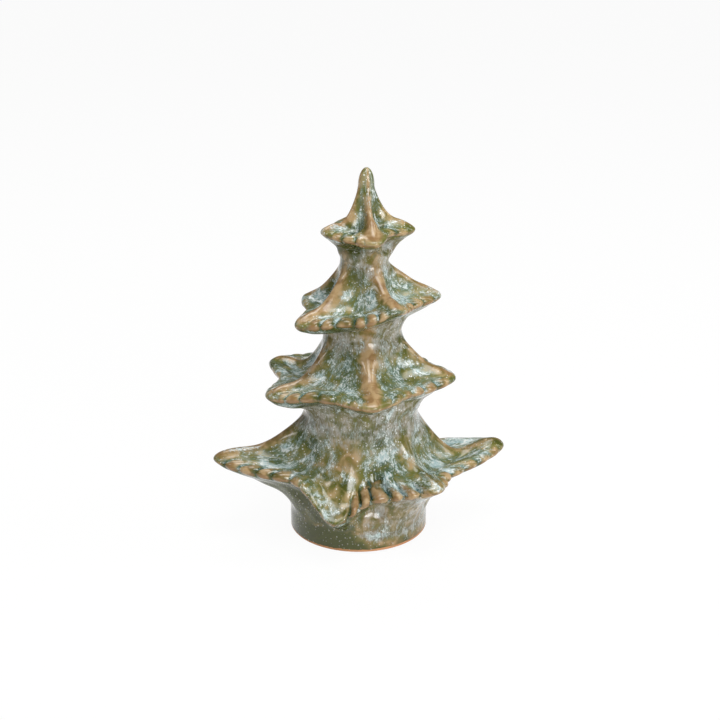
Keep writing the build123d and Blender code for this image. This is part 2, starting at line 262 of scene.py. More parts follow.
def reactive_glaze(name, bare_edge=None):
    """The tree's glaze. Below bare_edge, if it is given, the clay was wiped clean."""
    glaze = bpy.data.materials.new(name)
    glaze.use_nodes = True
    tree = glaze.node_tree
    shader = tree.nodes["Principled BSDF"]
    place = add_node(tree, "ShaderNodeTexCoord").outputs["Object"]
    flow = add_node(tree, "ShaderNodeAttribute", {"attribute_name": "flow"}).outputs["Vector"]
    at = {}
    # The drip_and_shade mark is painted shade, darker olive under the rims and low on the foot, along with
    # glaze that hangs thick there
    for mark in ("crest", "pool", "veil", "relief", "groove", "lump", "drip_and_shade"):
        at[mark] = add_node(tree, "ShaderNodeAttribute", {"attribute_name": mark}).outputs["Fac"]
    # Clouds in the glaze: millimetres across and along its run, their detail, and how far they are stirred
    clouds = {
        "patches": (place, 11.0, 11.0, 2.0, 0.3),
        "pools": (flow, 6.0, 9.0, 2.0, 0.6),
        "drifts": (place, 4.2, 4.2, 2.0, 0.4),
        "strokes": (flow, 0.9, 1.7, 3.0, 1.2),
        "wisps": (flow, 1.3, 4.5, 3.0, 1.0),
    }
    for cloud, (source, across, along, detail, stir) in clouds.items():
        scale = (1 / (across * mm), 1 / (across * mm), 1 / (along * mm))
        spread = add_node(tree, "ShaderNodeVectorMath", {"operation": "MULTIPLY"}, {0: source, 1: scale})
        noise = add_node(
            tree, "ShaderNodeTexNoise", {},
            {"Vector": spread.outputs[0], "Scale": 1.0, "Detail": detail, "Distortion": stir},
        )
        at[cloud] = noise.outputs["Fac"]
    cells = add_node(tree, "ShaderNodeTexVoronoi", {}, {"Vector": place, "Scale": 1 / speck_spacing})
    at["off speck"] = cells.outputs["Distance"]
    at["speck size"] = add_node(tree, "ShaderNodeSeparateColor", {}, {0: cells.outputs["Color"]}).outputs[0]
    # Each share rises from a low to a high level up to its most, and these marks and clouds raise the level
    for share, low, high, most, raised_by in (
        ("even", -0.28, 0.08, 1.0, {"patches": 1.0, "drifts": 0.4, "groove": -0.45, "drip_and_shade": -0.45}),
        ("faded", -0.10, 0.25, 0.85, {"drifts": 1.0, "patches": 0.4, "groove": -0.7, "drip_and_shade": -0.6}),
        ("thin", -0.10, 0.66, 0.95, {
            "crest": 0.75, "lump": 0.45, "groove": -0.5, "drip_and_shade": -0.2, "relief": 0.28, "drifts": 1.1,
            "patches": 1.1,
        }),
        ("warm", -0.14, 0.14, 1.0, {"drifts": 1.0, "drip_and_shade": -0.35}),
        ("veiled", 0.22, 0.80, 0.90, {
            "veil": 0.85, "wisps": 0.7, "drifts": 0.8, "patches": 0.95, "pools": 0.7, "crest": -0.7,
            "drip_and_shade": -0.35,
        }),
        ("white", -0.22, 0.24, 1.0, {"wisps": 0.9, "drifts": 0.8, "strokes": 0.7}),
        ("pooled", -0.12, 0.38, 0.72, {
            "pool": 0.18, "groove": 0.32, "lump": -0.30, "crest": -0.25, "pools": 1.3, "strokes": 0.8,
        }),
        ("hazy", -0.10, 0.12, 1.0, {"pools": 0.8, "strokes": 0.6}),
        ("grown", 0.11, 0.46, 0.80, {
            "pool": 0.16, "groove": 0.20, "lump": -0.30, "crest": -0.2, "veil": -0.04, "pools": 1.7,
            "strokes": 1.2,
        }),
        ("bright", -0.05, 0.15, 1.0, {"strokes": 1.0}),
        ("specked", -0.05, 0.05, 0.78, {
            "off speck": -1.0, "speck size": 0.30, "strokes": 0.7, "drifts": 0.3, "lump": -0.2,
            "crest": -0.2,
        }),
    ):
        # A cloud is one half on average, so that it lowers the level as often as it raises it
        level = -0.5 * sum(weight for what, weight in raised_by.items() if what in clouds)
        for what, weight in raised_by.items():
            level = add_node(
                tree, "ShaderNodeMath", {"operation": "MULTIPLY_ADD"}, {0: at[what], 1: weight, 2: level}
            ).outputs[0]
        at[share] = add_node(
            tree, "ShaderNodeMapRange", {"interpolation_type": "SMOOTHSTEP"},
            {0: level, 1: low, 2: high, 3: 0.0, 4: most},
        ).outputs[0]
    # The glaze's colours lie over each other, each going from a first to a second colour by another share
    colour = linear(olive_deep)
    for share, first, second, by in (
        ("even", olive_mid, olive_pale, "faded"),
        ("thin", clay_brown, clay_tan, "warm"),
        ("veiled", milk_brown, milk_white, "white"),
        ("pooled", pool_teal, pool_haze, "hazy"),
        ("grown", crystal_blue, crystal_white, "bright"),
        ("specked", milk_white, crystal_white, "warm"),
    ):
        hue = add_node(
            tree, "ShaderNodeMix", {"data_type": "RGBA"}, {0: at[by], 6: linear(first), 7: linear(second)}
        ).outputs[2]
        colour = add_node(
            tree, "ShaderNodeMix", {"data_type": "RGBA"}, {0: at[share], 6: colour, 7: hue}
        ).outputs[2]
    roughness = add_node(
        tree, "ShaderNodeMath", {"operation": "MULTIPLY_ADD"},
        {0: at["grown"], 1: crystal_roughness, 2: glaze_roughness},
    ).outputs[0]
    if bare_edge is not None:
        height = add_node(tree, "ShaderNodeSeparateXYZ", {}, {0: place}).outputs["Z"]
        wavy = add_node(
            tree, "ShaderNodeMath", {"operation": "MULTIPLY_ADD"},
            {0: at["drifts"], 1: 2 * wiped_waver, 2: height},
        ).outputs[0]
        middle = bare_edge + wiped_waver
        bare = add_node(
            tree, "ShaderNodeMapRange", {"interpolation_type": "SMOOTHSTEP"},
            {0: wavy, 1: middle + wiped_blur, 2: middle - wiped_blur, 3: 0.0, 4: 1.0},
        ).outputs[0]
        colour = add_node(
            tree, "ShaderNodeMix", {"data_type": "RGBA"}, {0: bare, 6: colour, 7: linear(bare_clay)}
        ).outputs[2]
        roughness = add_node(
            tree, "ShaderNodeMath", {"operation": "MULTIPLY_ADD"},
            {0: bare, 1: bare_roughness, 2: roughness},
        ).outputs[0]
    waves = add_node(
        tree, "ShaderNodeBump", {}, {"Strength": 0.20, "Distance": wave_height, "Height": at["drifts"]}
    ).outputs["Normal"]
    grains = add_node(
        tree, "ShaderNodeBump", {},
        {"Strength": 0.15, "Distance": crystal_height, "Height": at["grown"], "Normal": waves},
    ).outputs["Normal"]
    tree.links.new(colour, shader.inputs["Base Color"])
    tree.links.new(roughness, shader.inputs["Roughness"])
    tree.links.new(grains, shader.inputs["Normal"])
    shader.inputs["IOR"].default_value = glaze_ior
    return glaze


edge_middle = foot_base + foot_edge_round
foot_outline = np.array(
    [(pour_hole_radius, foot_base), (foot_radius - foot_standing_ring, foot_base)]
    + [
        (foot_radius + foot_edge_round * (math.cos(t) - 1), edge_middle + foot_edge_round * math.sin(t))
        for t in np.radians(np.linspace(-90, 0, foot_edge_rows))
    ]
    + [(foot_radius, height) for height in np.linspace(edge_middle, foot_seam, foot_wall_rows)[1:]]
    + [(foot_radius - foot_wall, foot_seam), (foot_radius - foot_wall, foot_base + foot_floor)]
    + [(pour_hole_radius, foot_base + foot_floor)]
)
foot_directions = np.arange(foot_columns) * 360 / foot_columns
foot_points = around(foot_directions, foot_outline[:, 0], foot_outline[:, 1])
foot_share = np.clip((foot_points[..., 2] - foot_base) / (foot_seam - foot_base), 0, 1)
foot_points = lean_over(foot_points, foot_share)
# The glaze's run in millimetres, from the spire's tip down to each seam, and the radius it runs at there
seam_runs = (0, 50, 105, 170, 240)
seam_run_radii = (6, 14, 22, 30, 34)
foot_run = seam_runs[-1] + foot_seam - foot_outline[:, 1]
veil_skew = 30


def under_veil(directions):
    """How milky the glaze is under the lowest branches: full on the right, little on the front's left."""
    turned = (np.asarray(directions) + 180) % 360 - 180
    right_or_left = np.maximum(smooth_step(-24, 16, turned), smooth_step(-60, -130, turned))
    return 0.05 + 0.95 * np.where(np.abs(turned) < 140, right_or_left, 0.9)


# The milky veil has run down askew. Where it is missing, and towards the foot's bottom, the glaze is thick
# and dark, and that darkness is also painted shade under the bottom tier
foot_low = smooth_step(foot_seam, foot_base, foot_points[..., 2])
foot_milk = under_veil(foot_directions[:, None] - veil_skew * foot_low)
foot_thick_and_shaded = np.maximum(0.5 * foot_low ** 2, 1 - foot_milk)
foot_mesh = cast_mesh(
    "foot_glazed", foot_points, True,
    {
        "flow": around(foot_directions, np.interp(foot_run, seam_runs, seam_run_radii), foot_run) * mm,
        "veil": foot_milk * (1 - 0.75 * foot_low) - 0.3 * foot_thick_and_shaded,
        "pool": -2.0 * foot_thick_and_shaded,
        "drip_and_shade": 0.85 * foot_thick_and_shaded,
        "crest": 0.55 * foot_milk * foot_low,
    },
)
foot_mesh.set_sharp_from_angle(angle=foot_crease)
foot_mesh.materials.append(reactive_glaze("reactive_glaze_on_foot", (foot_base + wiped_height) * mm))
foot_glazed = bpy.data.objects.new("foot_glazed", foot_mesh)
bpy.context.scene.collection.objects.link(foot_glazed)
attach(foot_glazed, "root")
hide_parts("foot")

# The bottom tier
# The lowest cast section: six drooping branches, long to the left and right, set on the foot with slip.
# Its rims are pressed into pleats with a modelling tool while the clay is soft.
bottom = {
    "seam": foot_seam, "low": foot_radius, "top": 26.0, "height": 48.5, "rim": 3.1,
    # The hollow's radii and heights, from the top down
    "wall": [(21.2, 48.5), (27.0, 16.0), (27.0, 0.0)],
    # Each branch: direction, reach, height and two falls of its top, then how hard both sides are pressed
    # and how bare its ridge is left by the glaze and how broad it is
    "branches": [
        (-80, 68.0, 27.0, 0.52, 0.86, 0.3, 1.0, 0.7, 5.0),
        (-14, 45.5, 11.0, 0.50, 0.83, 0.15, 1.4, 0.3, 12.0),
        (46, 51.0, 24.5, 0.60, 0.88, 1.2, 0.9, 0.4, 4.5),
        (98, 68.4, 28.0, 0.85, 1.26, 0.6, 0.3, 0.5, 5.0),
        (155, 48.0, 25.0, 0.62, 0.90, 0.8, 0.8, 0.6, 5.0),
        (216, 50.0, 25.0, 0.58, 0.86, 0.8, 0.8, 0.6, 5.0),
    ],
    # The rim's inmost place after each branch: direction, reach, height and two falls of the top there
    "valleys": [
        (-47, 41.0, 23.5, 0.68, 0.95), (14, 35.5, 18.8, 0.66, 0.94), (67, 45.0, 22.5, 0.76, 0.97),
        (127, 41.0, 23.0, 0.78, 0.98), (186, 39.0, 21.0, 0.72, 0.95), (248, 43.0, 22.0, 0.70, 0.95),
    ],
    # How high the underside is cut in at the sides and in front, how blunt the tips are, and how deep the
    # slopes between the ridges are hollowed
    "undercut": (0.52, 0.52), "blunt": 0.17, "dent": 2.2,
    "pleat pitch": 7.6, "pleat depth": 2.4, "pleat climb": 9.0,
    "columns": 620, "run": seam_runs[3:5], "spire": 0.0, "seed": 3,
}
tip_sharpness = 1.8
# The skin's outline goes through eight corners, at these steps from the seam past the rim's nose to the
# top, and its rows lie closest together round the nose
outline_steps = np.array([0.0, 0.20, 0.40, 0.46, 0.52, 0.68, 0.84, 1.0])
nose_step = 0.46
skin_rows = np.unique(
    np.concatenate([np.linspace(0, 0.36, 24), np.linspace(0.36, 0.60, 56), np.linspace(0.60, 1, 36)])
)
# How far out between the trunk and the rim the corners of the underside and of the slope lie
under_share, far_share, near_share = 0.28, 0.62, 0.27
front_edge, front_full = 62, 28
lip_depth = 1.1
spire_taper = 0.3
stem_breadths = 2.5
finger_strokes = 110
hollow_rows, spire_rows = 9, 18
relief_passes = 14
upper_milk = 0.85


def rim_along(tier, directions):
    """A section's rim at these directions: its reach, rise, both falls above it and how hard it is pressed,
    and the degrees to the nearest branch's ridge, with that ridge's bareness and breadth."""
    tips, dips = np.array(tier["branches"], float), np.array(tier["valleys"], float)
    tip_at, dip_at = tips[:, 0], dips[:, 0]
    press_before, press_after, bareness, breadth = tips[:, 5:].T
    turned = (directions - tip_at[0]) % 360 + tip_at[0]
    left = np.searchsorted(tip_at, turned + 1e-9, side="right") - 1
    right = (left + 1) % len(tips)
    right_at = np.where(right == 0, tip_at[0] + 360, tip_at[right])
    before_dip = turned < dip_at[left]
    near = np.where(before_dip, left, right)
    off_ridge = np.where(before_dip, turned - tip_at[left], right_at - turned)
    share = off_ridge / np.where(before_dip, dip_at[left] - tip_at[left], right_at - dip_at[left])
    blunt = tier["blunt"]
    tip = (1 - (np.hypot(share, blunt) - blunt) / (math.hypot(1, blunt) - blunt)) ** tip_sharpness
    form = dips[left, 1:] + (tips[near, 1:5] - dips[left, 1:]) * tip[:, None]
    reach, rise, near_fall, far_fall = form.T
    past_dip = smooth_step(-0.4, 0.4, np.where(before_dip, share - 1, 1 - share))
    press = press_after[left] + (press_before[right] - press_after[left]) * past_dip
    return {
        "reach": reach, "rise": rise, "near fall": near_fall, "far fall": far_fall, "press": press,
        "off ridge": off_ridge, "bareness": bareness[near], "breadth": breadth[near],
    }


def even_columns(tier):
    """Directions that lie evenly along a section's rim, and the rim's length."""
    fine = np.arange(0, 360, 0.25)
    rim = rim_along(tier, fine)
    rim_line = around(fine, rim["reach"][:, None], rim["rise"][:, None])[:, 0]
    rim_run = np.cumsum(np.linalg.norm(np.roll(rim_line, -1, axis=0) - rim_line, axis=1))
    columns, rim_length = tier["columns"], rim_run[-1]
    evenly = np.arange(columns) * rim_length / columns
    return np.interp(evenly, np.append(0, rim_run), np.append(fine, 360)), rim_length


def smooth_outline(corners, start_pull, end_pull, steps):
    """Points at these steps on smooth curves through rows of corners, with the given pull at both ends."""
    gaps = np.diff(outline_steps)
    count = len(outline_steps)
    weights = np.eye(count)
    targets = np.zeros_like(corners)
    targets[:, 0], targets[:, -1] = start_pull, end_pull
    for k in range(1, count - 1):
        before, after = 1 / gaps[k - 1], 1 / gaps[k]
        weights[k, k - 1:k + 2] = before, 2 * (before + after), after
        targets[:, k] = 3 * (
            (corners[:, k] - corners[:, k - 1]) * before ** 2
            + (corners[:, k + 1] - corners[:, k]) * after ** 2
        )
    slopes = np.einsum("ij,cjk->cik", np.linalg.inv(weights), targets)
    span = np.clip(np.searchsorted(outline_steps, steps, side="right") - 1, 0, count - 2)
    s = ((steps - outline_steps[span]) / gaps[span])[None, :, None]
    gap = gaps[span][None, :, None]
    return (
        (2 * s ** 3 - 3 * s ** 2 + 1) * corners[:, span] + (s ** 3 - 2 * s ** 2 + s) * gap * slopes[:, span]
        + (3 * s ** 2 - 2 * s ** 3) * corners[:, span + 1] + (s ** 3 - s ** 2) * gap * slopes[:, span + 1]
    )


def tier_skin(tier, directions, rim):
    """A section's outer skin: its outline as radii and heights, how far its points are from the rim's nose
    and up the skin, how far aside of the nearest ridge, and how much they belong to that ridge."""
    low, top, height, edge = tier["low"], tier["top"], tier["height"], tier["rim"]
    reach, rise, breadth = rim["reach"], rim["rise"], rim["breadth"][:, None]
    shoulder = reach - edge
    fall = height - rise - edge
    zero = np.zeros_like(reach)
    at_front = smooth_step(front_edge, front_full, np.abs((directions + 180) % 360 - 180))
    side_cut, front_cut = tier["undercut"]
    cut = side_cut + (front_cut - side_cut) * at_front
    corners = [
        (zero + low, zero),
        (low + under_share * (shoulder - low), cut * (rise - edge)),
        (shoulder, rise - edge),
        (reach, rise),
        (reach - lip_depth * edge, rise + edge),
        (top + far_share * (shoulder - top), height - rim["far fall"] * fall),
        (top + near_share * (shoulder - top), height - rim["near fall"] * fall),
        (zero + top, zero + height),
    ]
    corners = np.stack([np.stack(corner, axis=-1) for corner in corners], axis=1)
    # The ridges are rounded off with a wet finger
    for _ in range(finger_strokes):
        slope = corners[:, 5:7]
        corners[:, 5:7] = (np.roll(slope, 1, axis=0) + 2 * slope + np.roll(slope, -1, axis=0)) / 4
    start_pull = np.stack([zero, 2 * rise], axis=-1)
    inward = -spire_taper * (height - rise) if tier["spire"] else zero
    end_pull = np.stack([inward, 2 * (height - rise)], axis=-1)
    outline = smooth_outline(corners, start_pull, end_pull, skin_rows)
    lengths = np.linalg.norm(np.diff(outline, axis=1), axis=2)
    arc = np.concatenate([zero[:, None], np.cumsum(lengths, axis=1)], axis=1)
    from_nose = arc - np.array([np.interp(nose_step, skin_rows, row) for row in arc])[:, None]
    up_share = arc / arc[:, -1:]
    off_ridge = np.radians(np.minimum(rim["off ridge"], 90))[:, None]
    aside = np.maximum(outline[..., 0], stem_breadths * breadth) * np.sin(off_ridge)
    ridge = np.exp(-((aside / breadth) ** 2))
    # Between the ridges the slope is hollowed
    along = np.gradient(outline, axis=1)
    outward = np.stack([along[..., 1], -along[..., 0]], axis=-1)
    outward /= np.linalg.norm(outward, axis=-1, keepdims=True)
    dent = tier["dent"] * (1 - ridge) * smooth_step(1, 8, from_nose) * smooth_step(0.97, 0.70, up_share)
    outline = outline - dent[..., None] * outward
    return outline, from_nose, up_share, aside, ridge


def skin_marks(tier, directions, rim, skin, below):
    """Where a section's skin is pressed and uneven, where its glaze is thin, thick, pooled or milky, and
    where shade under the rim is painted dark.

    from_nose is in millimetres up the skin from the rim's nose, and up_share goes from 0 at the seam to 1
    at the top. The bare ridges of the section below run on into this one's underside."""
    outline, from_nose, up_share, aside, ridge = skin
    press, breadth = rim["press"][:, None], rim["breadth"][:, None]
    climb = tier["pleat climb"]
    fade = np.where(
        from_nose > 0, smooth_step(1, 0.35, from_nose / (climb * np.maximum(press, 0.6) ** 1.2)),
        smooth_step(-0.5 * climb, 0, from_nose),
    )
    upper = smooth_step(0, 4, from_nose)
    neck = smooth_step(0.68, 0.98, up_share)
    milk = under_veil(directions)[:, None]
    under = smooth_step(-4 + 3 * milk, -12 + 7 * milk, from_nose)
    # Just below the rim's nose the glaze is painted darker: painted shade under the rim, with glaze hanging
    # thick there
    drip_and_shade = (1 - 0.8 * milk) * smooth_step(1.0, -3, from_nose) * smooth_step(-13, -6, from_nose)
    crest = ridge ** 1.8 * upper * rim["bareness"][:, None]
    if tier["spire"]:
        crest *= 1 - 0.4 * smooth_step(0.60, 0.90, up_share)
    else:
        crest *= 1 - 0.5 * smooth_step(0.85, 1.0, up_share)
    if below:
        milk = upper_milk
        rim_below = rim_along(below, directions)
        off_below = np.radians(np.minimum(rim_below["off ridge"], 90))[:, None]
        aside_below = outline[..., 0] * np.sin(off_below)
        ridge_below = np.exp(-((aside_below / rim_below["breadth"][:, None]) ** 2))
        crest += 0.5 * ridge_below * rim_below["bareness"][:, None] * smooth_step(-1, -6, from_nose)
    else:
        # On the lowest section the underside without milk is painted dark too: painted shade under the
        # branches
        drip_and_shade = np.maximum(drip_and_shade, 0.65 * under * (1 - milk))
        crest += 0.42 * under * milk
    edge_bareness = np.clip(1.1 - 0.6 * press, 0.5, 1.1)
    within = smooth_step(0, 0.12, up_share) * smooth_step(1, 0.88, up_share)
    neck_veil = 0 * neck if tier["spire"] else 0.85 * neck
    top_run, low_run = tier["run"]
    return {
        "pleat_fade": fade * press * smooth_step(3, 7, aside),
        "skin": within * (1 - 0.95 * np.sqrt(ridge) * upper),
        "crest": np.maximum(crest, edge_bareness * np.exp(-((from_nose + 1.0) ** 2))),
        "drip_and_shade": drip_and_shade,
        "pool": upper * smooth_step(0.45, 1.5, aside / breadth) * (1 - neck) - 2.0 * under * (1 - milk),
        "veil": np.maximum(milk * under, neck_veil) - 0.3 * under * (1 - milk),
        "run": low_run + (top_run - low_run) * up_share,
    }


def cast_tier(name, tier, below=None):
    """The smooth clay of one section before its pleats, with its marks, its rows and its rim's length."""
    directions, rim_length = even_columns(tier)
    rim = rim_along(tier, directions)
    skin = tier_skin(tier, directions, rim)
    marks = skin_marks(tier, directions, rim, skin, below)
    columns = tier["columns"]
    wall = np.array(tier["wall"])
    places = np.linspace(0, len(wall) - 1, hollow_rows)
    hollow = np.stack([np.interp(places, np.arange(len(wall)), wall[:, k]) for k in (0, 1)], axis=-1)
    hollow = np.repeat(hollow[None], columns, axis=0)
    if tier["spire"]:
        turns = np.radians(np.linspace(6, 86, spire_rows))
        end = [tier["top"] * np.cos(turns), tier["height"] + tier["spire"] * np.sin(turns)]
        end = np.repeat(np.stack(end, axis=-1)[None], columns, axis=0)
        outline = np.concatenate([hollow[:, ::-1], skin[0], end], axis=1)
        first_row = hollow_rows
    else:
        outline = np.concatenate([skin[0], hollow], axis=1)
        first_row = 0
    rows = outline.shape[1]
    end_row = first_row + len(skin_rows)
    beyond = ((0, 0), (first_row, rows - end_row))
    marks = {mark: np.pad(values, beyond, mode="edge") for mark, values in marks.items()}
    for mark in ("pleat_fade", "skin"):
        marks[mark][:, :first_row] = 0
        marks[mark][:, end_row:] = 0
    run = marks.pop("run")
    marks["flow"] = around(directions, np.interp(run, seam_runs, seam_run_radii), run) * mm
    marks["rim_run"] = np.repeat((np.arange(columns) / columns)[:, None], rows, axis=1)
    points = lean_over(around(directions, outline[..., 0], tier["seam"] + outline[..., 1]))
    return cast_mesh(name, points, not tier["spire"], marks), rows, rim_length


def mark_relief(mesh, columns, rows):
    """Marks how far, in millimetres, the surface stands out of the smoothed form or lies below it."""
    count = columns * rows
    tables = []
    for source, field in ((mesh.vertices, "co"), (mesh.vertex_normals, "vector")):
        table = np.zeros(len(mesh.vertices) * 3, np.float32)
        source.foreach_get(field, table)
        tables.append(table.reshape(-1, 3)[:count].reshape(columns, rows, 3))
    places, normals = tables[0] / mm, tables[1]
    smoothed = places
    for _ in range(relief_passes):
        padded = np.pad(smoothed, ((0, 0), (1, 1), (0, 0)), mode="edge")
        beside = np.roll(smoothed, 1, axis=0) + np.roll(smoothed, -1, axis=0)
        smoothed = (beside + padded[:, 2:] + padded[:, :-2]) / 4
    inside = np.minimum(np.arange(rows), np.arange(rows)[::-1])
    relief = np.zeros(len(mesh.vertices), np.float32)
    relief[:count] = (((places - smoothed) * normals).sum(axis=-1) * smooth_step(12, 20, inside)).ravel()
    mesh.attributes.new("relief", "FLOAT", "POINT").data.foreach_set("value", relief)


# The pleats are pressed in one after the other along the rim, a little unevenly, as a hand does it.
hand_spacing = 14 * mm
lightest_press, hardest_press = 0.35, 1.25
pleat_wander = 1.4
pleat_bulge = 0.18
lump_roundness = 0.5
wobble_size, wobble_spacing = 2.0 * mm, 9 * mm
pleat_crease = math.radians(75)
pleats = bpy.data.node_groups.new("press pleats", "GeometryNodeTree")
for name, kind in (
    ("Clay", "NodeSocketGeometry"), ("Pleats", "NodeSocketInt"), ("Depth", "NodeSocketFloat"),
    ("Bulge", "NodeSocketFloat"), ("Wander", "NodeSocketFloat"), ("Roundness", "NodeSocketFloat"),
    ("Wobble", "NodeSocketFloat"), ("Seed", "NodeSocketInt"), ("Glaze", "NodeSocketMaterial"),
):
    pleats.interface.new_socket(name=name, in_out="INPUT", socket_type=kind)
pleats.interface.new_socket(name="Pressed clay", in_out="OUTPUT", socket_type="NodeSocketGeometry")
given = add_node(pleats, "NodeGroupInput").outputs
marked = {}
for mark, kind in (
    ("rim_run", "FLOAT"), ("pleat_fade", "FLOAT"), ("skin", "FLOAT"), ("flow", "FLOAT_VECTOR"),
):
    marked[mark] = add_node(
        pleats, "GeometryNodeInputNamedAttribute", {"data_type": kind}, {"Name": mark}
    ).outputs[0]
# Where along the rim the tool is, with the slips of the hand
level = add_node(
    pleats, "ShaderNodeVectorMath", {"operation": "MULTIPLY"}, {0: marked["flow"], 1: (1.0, 1.0, 0.0)}
).outputs[0]
hand = add_node(
    pleats, "ShaderNodeTexNoise", {}, {"Vector": level, "Scale": 1 / hand_spacing, "Detail": 1.0}
).outputs["Fac"]
slip = add_node(pleats, "ShaderNodeMath", {"operation": "SUBTRACT"}, {0: hand, 1: 0.5}).outputs[0]
slip = add_node(
    pleats, "ShaderNodeMath", {"operation": "MULTIPLY"}, {0: slip, 1: given["Wander"]}
).outputs[0]
phase = add_node(
    pleats, "ShaderNodeMath", {"operation": "MULTIPLY_ADD"},
    {0: marked["rim_run"], 1: given["Pleats"], 2: slip},
).outputs[0]
# Round lumps with narrow grooves between them, each groove pressed with a force of its own
half_turn = add_node(pleats, "ShaderNodeMath", {"operation": "MULTIPLY"}, {0: phase, 1: math.pi}).outputs[0]
wave = add_node(pleats, "ShaderNodeMath", {"operation": "SINE"}, {0: half_turn}).outputs[0]
wave = add_node(pleats, "ShaderNodeMath", {"operation": "ABSOLUTE"}, {0: wave}).outputs[0]
lump = add_node(
    pleats, "ShaderNodeMath", {"operation": "POWER"}, {0: wave, 1: given["Roundness"]}
).outputs[0]
groove = add_node(pleats, "ShaderNodeMath", {"operation": "SUBTRACT"}, {0: 1.0, 1: lump}).outputs[0]
shares = {}
for name, form in (("groove", groove), ("lump", lump)):
    shares[name] = add_node(
        pleats, "ShaderNodeMath", {"operation": "MULTIPLY"}, {0: form, 1: marked["pleat_fade"]}
    ).outputs[0]
number = add_node(pleats, "ShaderNodeMath", {"operation": "ROUND"}, {0: phase}).outputs[0]
number = add_node(
    pleats, "ShaderNodeMath", {"operation": "FLOORED_MODULO"}, {0: number, 1: given["Pleats"]}
).outputs[0]
force = add_node(
    pleats, "FunctionNodeRandomValue", {"data_type": "FLOAT"},
    {"Min": lightest_press, "Max": hardest_press, "ID": number, "Seed": given["Seed"]},
)
force = next(output for output in force.outputs if output.enabled)
cut = add_node(
    pleats, "ShaderNodeMath", {"operation": "MULTIPLY"}, {0: shares["groove"], 1: force}
).outputs[0]
cut = add_node(pleats, "ShaderNodeMath", {"operation": "MULTIPLY"}, {0: cut, 1: given["Depth"]}).outputs[0]
swell = add_node(
    pleats, "ShaderNodeMath", {"operation": "MULTIPLY"}, {0: shares["lump"], 1: given["Bulge"]}
).outputs[0]
size = add_node(pleats, "ShaderNodeMath", {"operation": "SUBTRACT"}, {0: swell, 1: cut}).outputs[0]
# The slow unevenness of the cast wall
uneven = add_node(
    pleats, "ShaderNodeTexNoise", {}, {"Vector": marked["flow"], "Scale": 1 / wobble_spacing, "Detail": 1.0}
).outputs["Fac"]
uneven = add_node(pleats, "ShaderNodeMath", {"operation": "SUBTRACT"}, {0: uneven, 1: 0.5}).outputs[0]
uneven = add_node(
    pleats, "ShaderNodeMath", {"operation": "MULTIPLY"}, {0: uneven, 1: marked["skin"]}
).outputs[0]
size = add_node(
    pleats, "ShaderNodeMath", {"operation": "MULTIPLY_ADD"}, {0: uneven, 1: given["Wobble"], 2: size}
).outputs[0]
normal = add_node(pleats, "GeometryNodeInputNormal").outputs["Normal"]
push = add_node(pleats, "ShaderNodeVectorMath", {"operation": "SCALE"}, {0: normal, "Scale": size})
clay = add_node(
    pleats, "GeometryNodeSetPosition", {}, {"Geometry": given["Clay"], "Offset": push.outputs[0]}
).outputs[0]
for name, value in shares.items():
    clay = add_node(
        pleats, "GeometryNodeStoreNamedAttribute", {"data_type": "FLOAT", "domain": "POINT"},
        {"Geometry": clay, "Name": name, "Value": value},
    ).outputs[0]
clay = add_node(pleats, "GeometryNodeRealizeInstances", {}, {0: clay}).outputs[0]
clay = add_node(
    pleats, "GeometryNodeSetMaterial", {}, {"Geometry": clay, "Material": given["Glaze"]}
).outputs[0]
add_node(pleats, "NodeGroupOutput", {}, {0: clay})


def make_tier(node, tier, below=None):
    """One section cast, pressed and glazed, standing for its node of the frame."""
    blank, rows, rim_length = cast_tier(f"{node}_blank", tier, below)
    mesh = shaped_by(
        pleats, blank,
        {
            "Pleats": round(rim_length / tier["pleat pitch"]), "Depth": tier["pleat depth"] * mm,
            "Bulge": pleat_bulge * tier["pleat depth"] * mm, "Wander": pleat_wander,
            "Roundness": lump_roundness, "Wobble": wobble_size, "Seed": tier["seed"],
            "Glaze": reactive_glaze(f"reactive_glaze_on_{node}"),
        },
    )
    mesh.name = f"{node}_glazed"
    mark_relief(mesh, tier["columns"], rows)
    mesh.set_sharp_from_angle(angle=pleat_crease)
    piece = bpy.data.objects.new(f"{node}_glazed", mesh)
    bpy.context.scene.collection.objects.link(piece)
    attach(piece, "root")
    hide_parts(node)


make_tier("bottom_tier", bottom)

# The second tier
# A cast section with five branches, turned against those below and stuck on at the neck with slip.
# The front branch's ridge is rounded broad, and the glaze has run off it to both sides.
second = {
    "seam": bottom["seam"] + bottom["height"], "low": bottom["top"],
    "top": 17.5, "height": 39.0, "rim": 3.1,
    "wall": [(12.7, 39.0), (22.0, 14.0), (21.2, 0.0)],
    "branches": [
        (-122, 50.0, 12.5, 0.66, 0.98, 0.4, 0.15, 0.6, 4.0),
        (-58, 49.0, 14.5, 0.58, 0.90, 0.25, 0.9, 0.8, 4.2),
        (7, 43.0, 16.5, 0.50, 0.85, 0.3, 0.4, 1.2, 4.8),
        (74, 43.3, 19.8, 0.44, 0.79, 0.8, 0.35, 0.7, 4.0),
        (155, 38.0, 15.5, 0.55, 0.88, 0.8, 0.8, 0.8, 4.0),
    ],
    "valleys": [
        (-90, 38.0, 13.5, 0.76, 0.98), (-26, 37.5, 17.0, 0.73, 0.96), (39, 36.0, 18.0, 0.72, 0.96),
        (115, 34.0, 17.5, 0.70, 0.96), (196, 35.0, 14.5, 0.70, 0.96),
    ],
    "undercut": (0.54, 0.70), "blunt": 0.18, "dent": 2.2,
    "pleat pitch": 7.2, "pleat depth": 2.2, "pleat climb": 8.0,
    "columns": 560, "run": seam_runs[2:4], "spire": 0.0, "seed": 5,
}
make_tier("second_tier", second, bottom)

